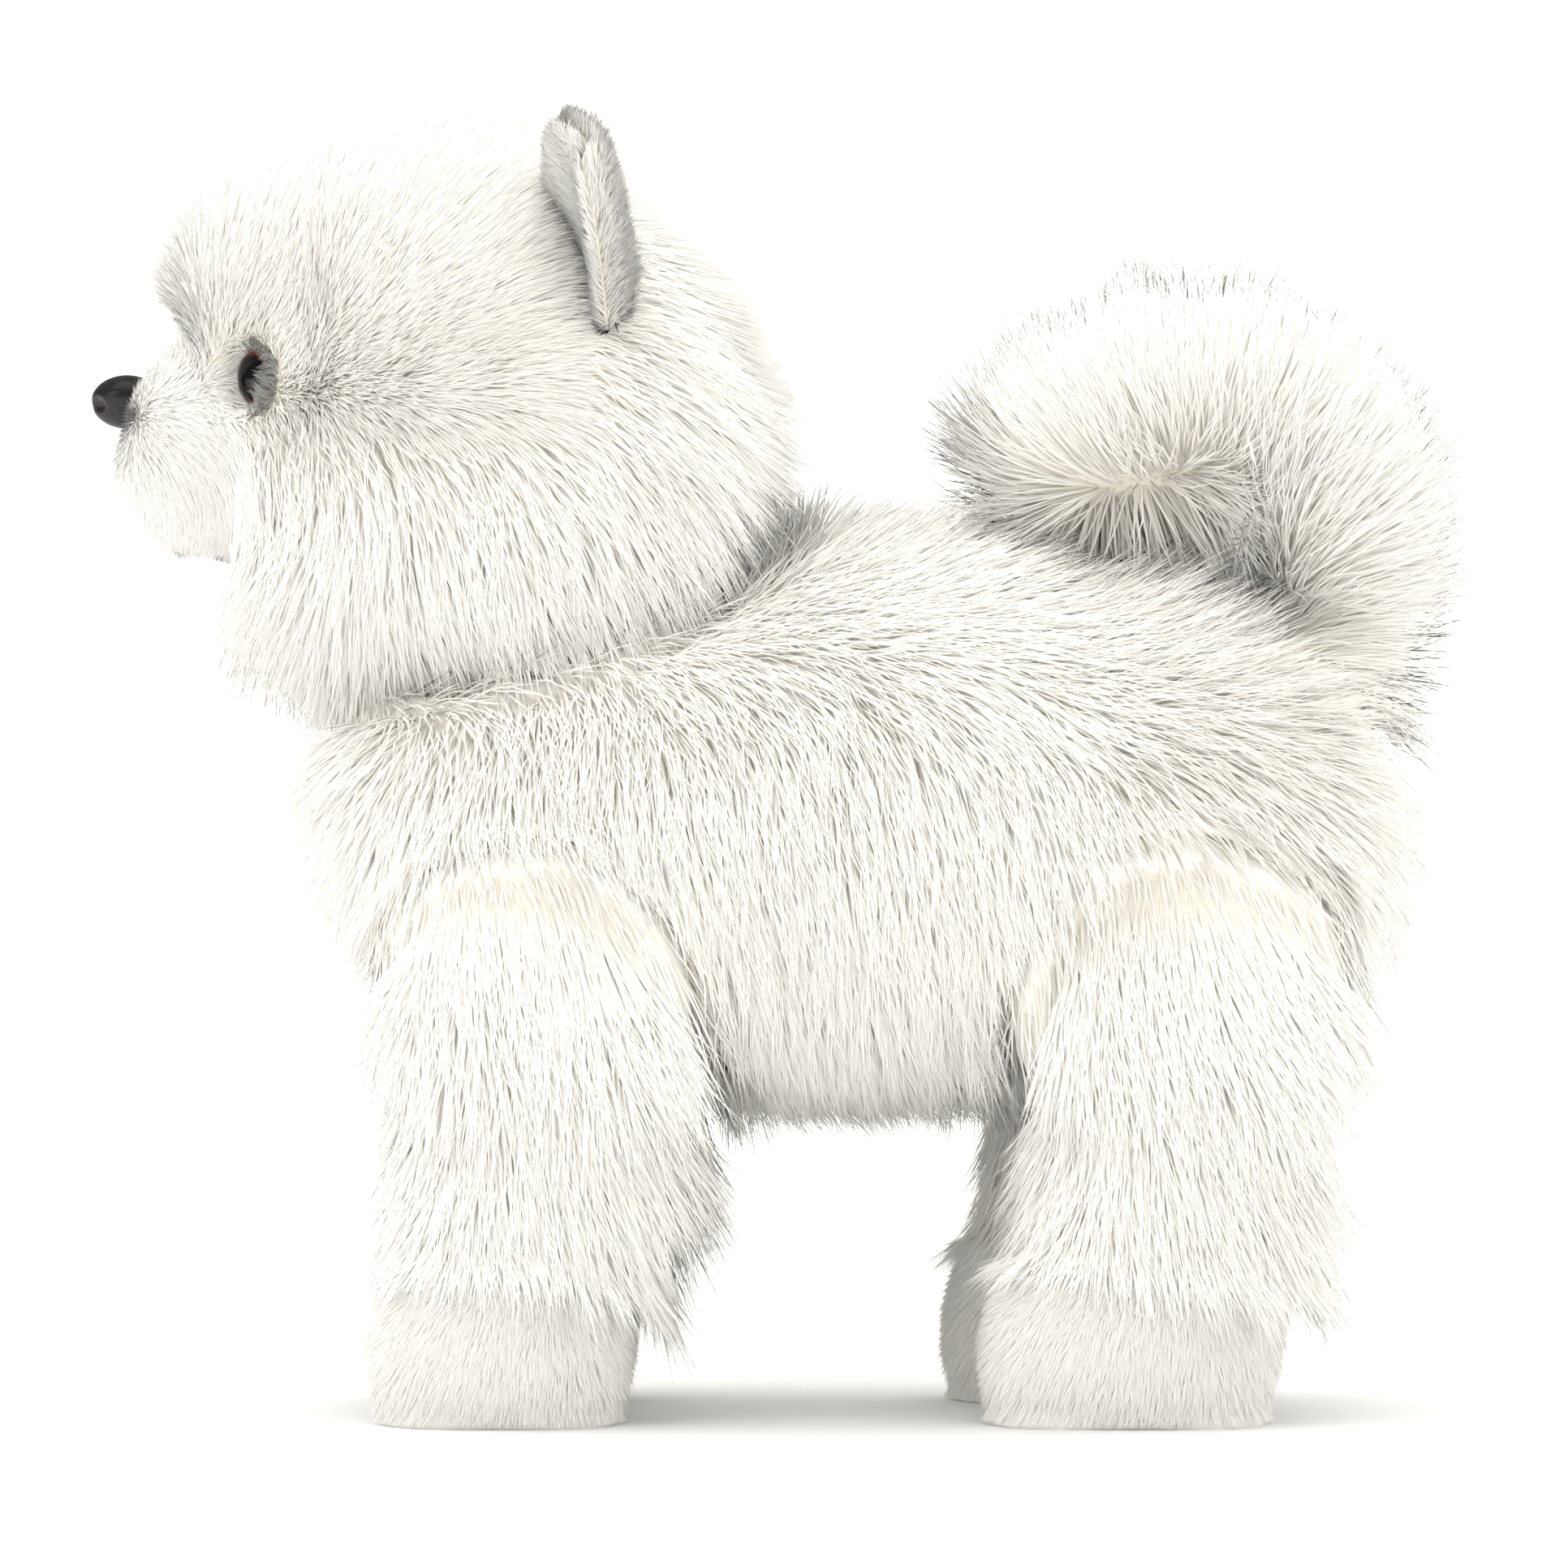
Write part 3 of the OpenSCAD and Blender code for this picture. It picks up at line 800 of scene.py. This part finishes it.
fine_nap = {"Fibres a square metre": 4.8e6, "Fibre width": 0.0005, "Lock size": 0.004, "Lock grip": 0.15,
            "Fine lock grip": 0.1, "Wave": 0.12, "Droop": 0.02, "Uneven length": 0.35}
plush_nap = {"Fibres a square metre": 3.2e6, "Fibre width": 0.00055, "Lock size": 0.006, "Lock grip": 0.12,
             "Fine lock grip": 0.12, "Wave": 0.2, "Droop": 0.05, "Uneven length": 0.35}
long_coat = {"Fibres a square metre": 0.72e6, "Fibre width": 0.0006, "Lock size": 0.008, "Lock grip": 0.26,
             "Fine lock grip": 0.25, "Wave": 0.3, "Frizz": 0.16, "Uneven length": 0.35}
for side, sign in SIDES.items():
    panel(
        f"ruff_pile_{side}", head,
        lambda c: (c[:, 1] * sign > 0) & ~on_crown(c) & ~on_muzzle(c) & ~on_cheek(c),
        "head", "long_pile", long_pile, long_fibre,
        replaces=(f"head_side_{side}",), seed=21 + sign, **long_coat,
    )
    panel(
        f"cheek_pile_{side}", head, lambda c: (c[:, 1] * sign > 0) & on_cheek(c),
        "head", "long_pile", long_pile, short_fibre, seed=23 + sign, **plush_nap,
    )
    panel(
        f"muzzle_pile_{side}", head, lambda c: (c[:, 1] * sign > 0) & on_muzzle(c) & (c[:, 2] > mouth * MM),
        "head", "short_pile", short_pile, short_fibre, replaces=(f"muzzle_{side}",), seed=25 + sign, **fine_nap,
    )
panel(
    "crown_pile", head, on_crown, "head", "long_pile", long_pile, short_fibre,
    replaces=("head_crown",), seed=29, **plush_nap,
)
panel(
    "chin_pile", head, lambda c: on_muzzle(c) & (c[:, 2] <= mouth * MM), "head", "short_pile",
    short_pile, short_fibre, replaces=("chin",), seed=27, **fine_nap,
)
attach(head, "head")
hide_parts("head_stuffing")

# ---- Nose -------------------------------------------------------------------
# One moulded piece of satin black plastic, pushed on through the muzzle: a rounded
# triangle with two nostrils and a groove down its middle.
nose_deep, nostril_deep, groove_deep = 9.0, 2.4, 0.9
nose_front, nose_middle_z = nose_high[0] + 2.8, nose_centre[2]


def nose_shape():
    half_wide, half_tall = (nose_high[1] - nose_low[1]) / 2, (nose_high[2] - nose_low[2]) / 2
    bm = bmesh.new()
    bmesh.ops.create_uvsphere(bm, u_segments=64, v_segments=48, radius=1)
    for v in bm.verts:
        forward, across, up = v.co.x, v.co.y, v.co.z
        narrow = 1 - 0.38 * (0.5 - 0.5 * up) ** 1.5
        place = Vector((forward * nose_deep, across * half_wide * narrow, up * half_tall))
        for nostril in (1, -1):
            gap = math.hypot(across - 0.52 * nostril, (up + 0.12) * 0.9)
            if forward > 0:
                place.x -= nostril_deep * math.exp(-((gap / 0.22) ** 2))
        if forward > 0 and up < 0.3:
            place.x -= groove_deep * math.exp(-((across / 0.09) ** 2)) * ramp(-up, -0.3, 0.2)
        v.co = Vector((nose_front - nose_deep + place.x, place.y, nose_middle_z + place.z)) * MM
    mesh = bpy.data.meshes.new("nose_shell")
    bm.to_mesh(mesh)
    bm.free()
    for p in mesh.polygons:
        p.use_smooth = True
    return new_object("nose_shell", mesh)


def black_plastic():
    made, tree, surface = new_material("black_nose_plastic")
    surface.inputs["Specular IOR Level"].default_value = 0.22
    surface.inputs["Coat Weight"].default_value = 0.2
    surface.inputs["Coat Roughness"].default_value = 0.08
    place = tree.nodes.new("ShaderNodeTexCoord")
    grain = tree.nodes.new("ShaderNodeTexNoise")
    grain.inputs["Scale"].default_value = 900
    grain.inputs["Detail"].default_value = 3
    tree.links.new(place.outputs["Object"], grain.inputs["Vector"])
    tint = colour_steps(tree, grain.outputs["Fac"], ((0, (0.006, 0.005, 0.006)), (1, (0.022, 0.018, 0.018))))
    tree.links.new(tint, surface.inputs["Base Color"])
    dull = tree.nodes.new("ShaderNodeMapRange")
    dull.inputs["To Min"].default_value = 0.2
    dull.inputs["To Max"].default_value = 0.34
    tree.links.new(grain.outputs["Fac"], dull.inputs["Value"])
    tree.links.new(dull.outputs[0], surface.inputs["Roughness"])
    bump = tree.nodes.new("ShaderNodeBump")
    bump.inputs["Strength"].default_value = 0.08
    bump.inputs["Distance"].default_value = 0.0002
    tree.links.new(grain.outputs["Fac"], bump.inputs["Height"])
    tree.links.new(bump.outputs[0], surface.inputs["Normal"])
    return made


nose_shell = nose_shape()
nose_shell.data.materials.append(black_plastic())
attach(nose_shell, "head")
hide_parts("nose")

# ---- Eyes -------------------------------------------------------------------
# Safety eyes: a clear domed lens over a dished plate with a black pupil and a red-brown
# ring, its shank locked by a washer behind the cloth.
dome_high = 3.2


def turned_profile(name, profile, place, aim, steps=64):
    """Turns a profile of (radius, height) pairs round an axis, closed at both ends."""
    rotation = Vector((0, 0, 1)).rotation_difference(aim).to_matrix().to_4x4()
    bm = bmesh.new()
    rings = []
    for radius, height in profile:
        if radius == 0:
            rings.append([bm.verts.new((0, 0, height * MM))])
            continue
        ring = []
        for i in range(steps):
            angle = 2 * math.pi * i / steps
            place_on_ring = (radius * MM * math.cos(angle), radius * MM * math.sin(angle), height * MM)
            ring.append(bm.verts.new(place_on_ring))
        rings.append(ring)
    for low, high in zip(rings, rings[1:]):
        for i in range(steps):
            j = (i + 1) % steps
            corners = [low[i % len(low)], low[j % len(low)], high[j % len(high)], high[i % len(high)]]
            bm.faces.new(dict.fromkeys(corners))
    bmesh.ops.recalc_face_normals(bm, faces=bm.faces)
    mesh = bpy.data.meshes.new(name)
    bm.to_mesh(mesh)
    bm.free()
    ring_of = np.hypot(coords(mesh)[:, 0], coords(mesh)[:, 1]) / MM / eye_half
    set_attribute(mesh, "ring", ring_of)
    mesh.transform(Matrix.Translation(place) @ rotation)
    for p in mesh.polygons:
        p.use_smooth = True
    return new_object(name, mesh)


def iris_paint():
    made, tree, surface = new_material("iris_paint")
    surface.inputs["Roughness"].default_value = 0.5
    surface.inputs["Specular IOR Level"].default_value = 0.05
    ring = tree.nodes.new("ShaderNodeAttribute")
    ring.attribute_name = "ring"
    pupil, ring_edge, ring_middle = (0.004, 0.003, 0.003), (0.16, 0.035, 0.018), (0.30, 0.085, 0.045)
    rim, edge = (0.10, 0.02, 0.012), (0.02, 0.006, 0.005)
    steps = ((0.68, pupil), (0.76, ring_edge), (0.9, ring_middle), (0.97, rim), (1.0, edge))
    tree.links.new(colour_steps(tree, ring.outputs["Fac"], steps), surface.inputs["Base Color"])
    return made


def clear_lens():
    made, _, surface = new_material("clear_lens")
    surface.inputs["Base Color"].default_value = (0.98, 0.97, 0.96, 1)
    surface.inputs["Transmission Weight"].default_value = 1
    surface.inputs["Roughness"].default_value = 0.02
    surface.inputs["IOR"].default_value = 1.33
    return made


def dome_profile(turns=12):
    """The dome's outside from its rim to its top, as part of a ball."""
    ball = (eye_half**2 + dome_high**2) / (2 * dome_high)
    angles = [math.asin(eye_half / ball) * i / turns for i in range(turns, 0, -1)]
    return [(ball * math.sin(a), dome_high - ball + ball * math.cos(a)) for a in angles] + [(0, dome_high)]


iris, lens = iris_paint(), clear_lens()
for side in SIDES:
    aim, front = eye_aims[side], eye_fronts[side]
    lens_profile = [(0, -0.8), (7.1, -0.8), (7.15, -0.2), *dome_profile()]
    lens_piece = turned_profile(f"eye_dome_{side}", lens_profile, front, aim)
    lens_piece.data.materials.append(lens)
    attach(lens_piece, "head")
    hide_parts(f"eye_lens_{side}")
    plate = [(0, -15), (1.8, -15), (2.2, -14.5), (2.2, -1.2), (eye_half, -1.2)]
    plate += [(eye_half, -0.3)] + [(eye_half - 0.15 - 0.7 * i, 0) for i in range(9)] + [(0.6, 0), (0, 0)]
    plate_piece = turned_profile(f"eye_plate_{side}", plate, front, aim)
    plate_piece.data.materials.append(iris)
    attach(plate_piece, "head")
    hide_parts(f"eye_base_{side}")

# ---- Ears -------------------------------------------------------------------
# Two layers sewn round the edge and turned: a short smooth pile inside the cup, longer
# fur behind. The seam at the foot is gathered, which curls both edges forward.
ear_tall, ear_half_wide, ear_cup, ear_thick = 41.0, 24.0, 6.5, 2.6
ear_lean = math.radians(24)
joint_of = {j["name"]: j for j in frame["record"]["behaviour"]["joints"]}


def ear_axes(side, sign):
    """Where an ear is sewn on, the way its seam runs, and the ways it points and faces."""
    hinge = joint_of[f"ear_{side}_fold"]
    foot = Vector(hinge["pos_m"])
    seam = Vector(hinge["axis"]).normalized() * sign
    face = Vector((seam.y, -seam.x, 0)).normalized() * sign
    up = face.cross(seam) * sign
    tip_way = up * math.cos(ear_lean) + face * math.sin(ear_lean)
    return foot, seam, tip_way, face * math.cos(ear_lean) - up * math.sin(ear_lean)


def ear_bag(name, foot, seam, up, face):
    rows, columns = 26, 26
    bm = bmesh.new()
    sheets = []
    for layer in (1, -1):
        grid = []
        for i in range(rows + 1):
            tall = i / rows
            half = ear_half_wide * math.sqrt(max(0.0, 1 - (0.97 * tall) ** 2.4)) * (1 - 0.12 * tall)
            line = []
            for j in range(columns + 1):
                u = 2 * j / columns - 1
                edge = max(0.0, 1 - abs(u) ** 6) * max(0.0, 1 - tall**12)
                out = ear_cup * (u * u * (1 - 0.55 * tall) - 0.45) + ear_thick * layer * math.sqrt(edge)
                place = foot + (seam * u * half + up * (tall * ear_tall - 1) + face * out) * MM
                line.append(bm.verts.new(place))
            grid.append(line)
        sheets.append(grid)
        for i in range(rows):
            for j in range(columns):
                corners = [grid[i][j], grid[i][j + 1], grid[i + 1][j + 1], grid[i + 1][j]]
                bm.faces.new(corners if layer > 0 else corners[::-1])
    front, rear = sheets
    rim = [(0, j) for j in range(columns)] + [(i, columns) for i in range(rows)]
    rim += [(rows, j) for j in range(columns, 0, -1)] + [(i, 0) for i in range(rows, 0, -1)]
    for (a, b), (c, d) in zip(rim, rim[1:] + rim[:1]):
        bm.faces.new([front[a][b], rear[a][b], rear[c][d], front[c][d]])
    bmesh.ops.remove_doubles(bm, verts=bm.verts, dist=0.02 * MM)
    bmesh.ops.recalc_face_normals(bm, faces=bm.faces)
    mesh = bpy.data.meshes.new(name)
    bm.to_mesh(mesh)
    bm.free()
    for p in mesh.polygons:
        p.use_smooth = True
    return new_object(name, mesh)


for side, sign in SIDES.items():
    foot, seam, up, face = ear_axes(side, sign)
    ear = ear_bag(f"ear_bag_{side}", foot, seam, up, face)
    set_attribute(ear.data, "hidden", np.zeros(len(ear.data.vertices)))

    def ear_coat(p, n):
        behind = ramp(n @ np.array(face), 0.1, -0.3)
        off_middle = (p * MM - np.array(foot)) @ np.array(seam) / (20 * MM)
        comb = np.array([up]) + 0.2 * np.array([seam]) * off_middle[:, None]
        return comb, 5.0 + 4 * behind, 0.6 - 0.05 * behind, 0.1 + 0.1 * behind

    comb_form(ear, ear_coat)
    normal_of = {tuple(np.round(p.center, 6)): p.normal @ face for p in ear.data.polygons}
    for name, layer in (("lining", 1), ("back", -1)):

        def on_layer(c):
            return np.array([normal_of.get(tuple(np.round(q, 6)), 0) * layer > 0 for q in c])

        panel(
            f"ear_{name}_pile_{side}", ear, on_layer, f"ear_{side}",
            "short_pile" if layer > 0 else "long_pile",
            short_pile if layer > 0 else long_pile, short_fibre,
            replaces=(f"ear_{name}_{side}",), seed=61 + layer + 3 * sign, **fine_nap,
        )
    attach(ear, f"ear_{side}")

# ---- Tail -------------------------------------------------------------------
# A stuffed curl in very long pile, two sides sewn round the rim, sprung at its root. The
# fibres stand out all round, so the tail reads as one round plume; its middle hollow is
# painted creamier, as painted shade.
tail = stuffed_form(
    "tail_bag",
    ["tail_side_left", "tail_side_right", "tail_stuffing"],
    ["torso_side_left", "torso_side_right"],
    lambda p: np.full(len(p), cloth_depth),
    voxel=3 * MM,
)
plume_middle = np.array([-108.0, 0, 188.0])
# The middle of the plume's hollow, where the fibres are painted creamier as painted shade.
shaded_hollow_x, shaded_hollow_z = -104, 216


def tail_coat(p, n):
    x, _, z = p.T
    out = (p - plume_middle) * np.array([1, 0.35, 1])
    far = np.linalg.norm(out, axis=1)
    comb = out / np.maximum(far, 1)[:, None]
    rear = ramp(x, -138, -158)
    # Painted shade: the fibres in the plume's middle hollow are painted creamier.
    shaded_hollow = ramp(np.hypot(x - shaded_hollow_x, z - shaded_hollow_z), 24, 8)
    under = 0.7 * ramp(-n[:, 2], 0.3, 0.8) * ramp(x, -148, -132) * ramp(x, -62, -84)
    comb = blend_fields(comb, flow(-0.3, 0, -1.0) + 0 * p, under)
    crest = ramp(z, 235, 262)
    pile = 33 - 9 * rear - 8 * crest
    lay = (0.56 - 0.04 * rear) * (1 - 0.6 * under)
    return comb, pile, lay, 0.2 + 0.3 * shaded_hollow


comb_form(tail, tail_coat)
for side, sign in SIDES.items():
    panel(
        f"tail_pile_{side}", tail, lambda c: c[:, 1] * sign > 0, "tail", "long_pile", long_pile, long_fibre,
        replaces=(f"tail_side_{side}",), seed=31 + sign,
        **{**long_coat, "Fibres a square metre": 0.9e6, "Droop": 0.08, "Lock size": 0.011},
    )
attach(tail, "tail")
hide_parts("tail_stuffing")

# ---- Legs -------------------------------------------------------------------
# Each leg is an outer and an inner long-pile panel over one filling, ending in a
# short-pile paw closed by a flat sole. Its top is drawn in under the flank's coat.
cuff, sole_top, hip_draw = 42 * MM, 1.5 * MM, 7 * MM


def leg_sink(p):
    z = p[:, 2] / MM
    return (2.5 + 4 * ramp(z, 38, 48)) * ramp(z, 1, 5) * MM


for end in ("front", "hind"):
    for side, sign in SIDES.items():
        base = f"{end}_{side}"
        body = f"leg_{base}"
        low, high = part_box(f"{base}_leg_outer")
        paw_low, paw_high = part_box(f"{base}_paw")
        leg_x, leg_y = (low[0] + high[0]) / 2 / MM, (paw_low[1] + paw_high[1]) / 2
        leg = stuffed_form(
            f"{base}_leg_bag",
            [f"{base}_leg_outer", f"{base}_leg_inner", f"{base}_leg_stuffing", f"{base}_paw", f"{base}_sole"],
            ["torso_side_left", "torso_side_right", "belly_panel"],
            leg_sink,
            voxel=3 * MM,
            reach=8 * MM,
        )

        places = coords(leg.data)
        outer_share = ramp((places[:, 1] - leg_y) * sign / MM, -5, 20)
        places[:, 1] -= sign * hip_draw * outer_share * ramp(places[:, 2] / MM, 92, 130)
        leg.data.vertices.foreach_set("co", places.ravel())
        leg.data.update()

        def leg_coat(p, n):
            x, _, z = p.T
            behind = ramp(x - leg_x, 10, -25)
            comb = blend_fields(flow(-0.1, 0, -1.0) + 0 * p, flow(-0.45, 0, -1.0) + 0 * p, behind)
            paw = ramp(z, 44, 40)
            comb = blend_fields(comb, flow(0.2, 0, -1.0) + 0 * p, paw)
            pile = (24 + 14 * behind) * (1 - paw) + (5.5 + 3 * ramp(z, 14, 6)) * paw
            top = ramp(z, 112, 132)
            lay = 0.58 + 0.3 * top - 0.1 * paw
            return comb, pile * (1 - 0.35 * top), lay, 0.2 + 0.1 * ramp(z, 80, 130)

        comb_form(leg, leg_coat)
        for face, facing in (("outer", 1), ("inner", -1)):
            panel(
                f"{base}_leg_pile_{face}", leg,
                lambda c: ((c[:, 1] - leg_y) * sign * facing > 0) & (c[:, 2] > cuff),
                body, "long_pile", long_pile, long_fibre,
                replaces=(f"{base}_leg_{face}",), seed=41 + 2 * sign + facing, **long_coat,
            )
        panel(
            f"{base}_paw_pile", leg, lambda c: (c[:, 2] <= cuff) & (c[:, 2] > sole_top), body, "short_pile",
            short_pile, short_fibre, replaces=(f"{base}_paw",), seed=47 + sign,
            **{**fine_nap, "Fibres a square metre": 3.6e6},
        )
        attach(leg, body)
        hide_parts(f"{base}_leg_stuffing")

# ---- Filling and hidden parts ------------------------------------------------
# Knitted backing on the bags, white fibre filling in the neck, woven white soles under the
# paws, and the dull plastic washers that lock the nose and the eyes from inside.
def plain_white(name, colour, grain, rough):
    made, tree, surface = new_material(name)
    surface.inputs["Roughness"].default_value = rough
    place = tree.nodes.new("ShaderNodeTexCoord")
    threads = tree.nodes.new("ShaderNodeTexNoise")
    threads.inputs["Scale"].default_value = grain
    threads.inputs["Detail"].default_value = 4.0
    tree.links.new(place.outputs["Object"], threads.inputs["Vector"])
    shades = ((0.3, [c * 0.88 for c in colour]), (0.7, colour))
    tree.links.new(colour_steps(tree, threads.outputs["Fac"], shades), surface.inputs["Base Color"])
    relief = tree.nodes.new("ShaderNodeBump")
    relief.inputs["Strength"].default_value = 0.3
    relief.inputs["Distance"].default_value = 0.0004
    tree.links.new(threads.outputs["Fac"], relief.inputs["Height"])
    tree.links.new(relief.outputs[0], surface.inputs["Normal"])
    return made


filling = plain_white("fibre_filling", (0.9, 0.89, 0.85), 250, 0.9)
knit = plain_white("knit_backing", (0.93, 0.91, 0.86), 900, 0.85)
sole_weave = plain_white("sole_weave", (0.92, 0.91, 0.88), 1400, 0.8)
washer = plain_white("washer_plastic", (0.82, 0.82, 0.8), 120, 0.5)
for piece in bpy.context.scene.objects:
    if piece.type == "MESH" and (piece.name.endswith("_bag") or piece.name.startswith("ear_bag")):
        piece.data.materials.clear()
        piece.data.materials.append(knit)
hidden_parts = {"neck_stuffing": filling, "nose_washer": washer}
hidden_parts.update({f"eye_washer_{side}": washer for side in SIDES})
hidden_parts.update({f"{leg}_sole": sole_weave for leg in leg_names})
for name, material in hidden_parts.items():
    shell = frame["nodes"][name].data
    shell.materials.clear()
    shell.materials.append(material)
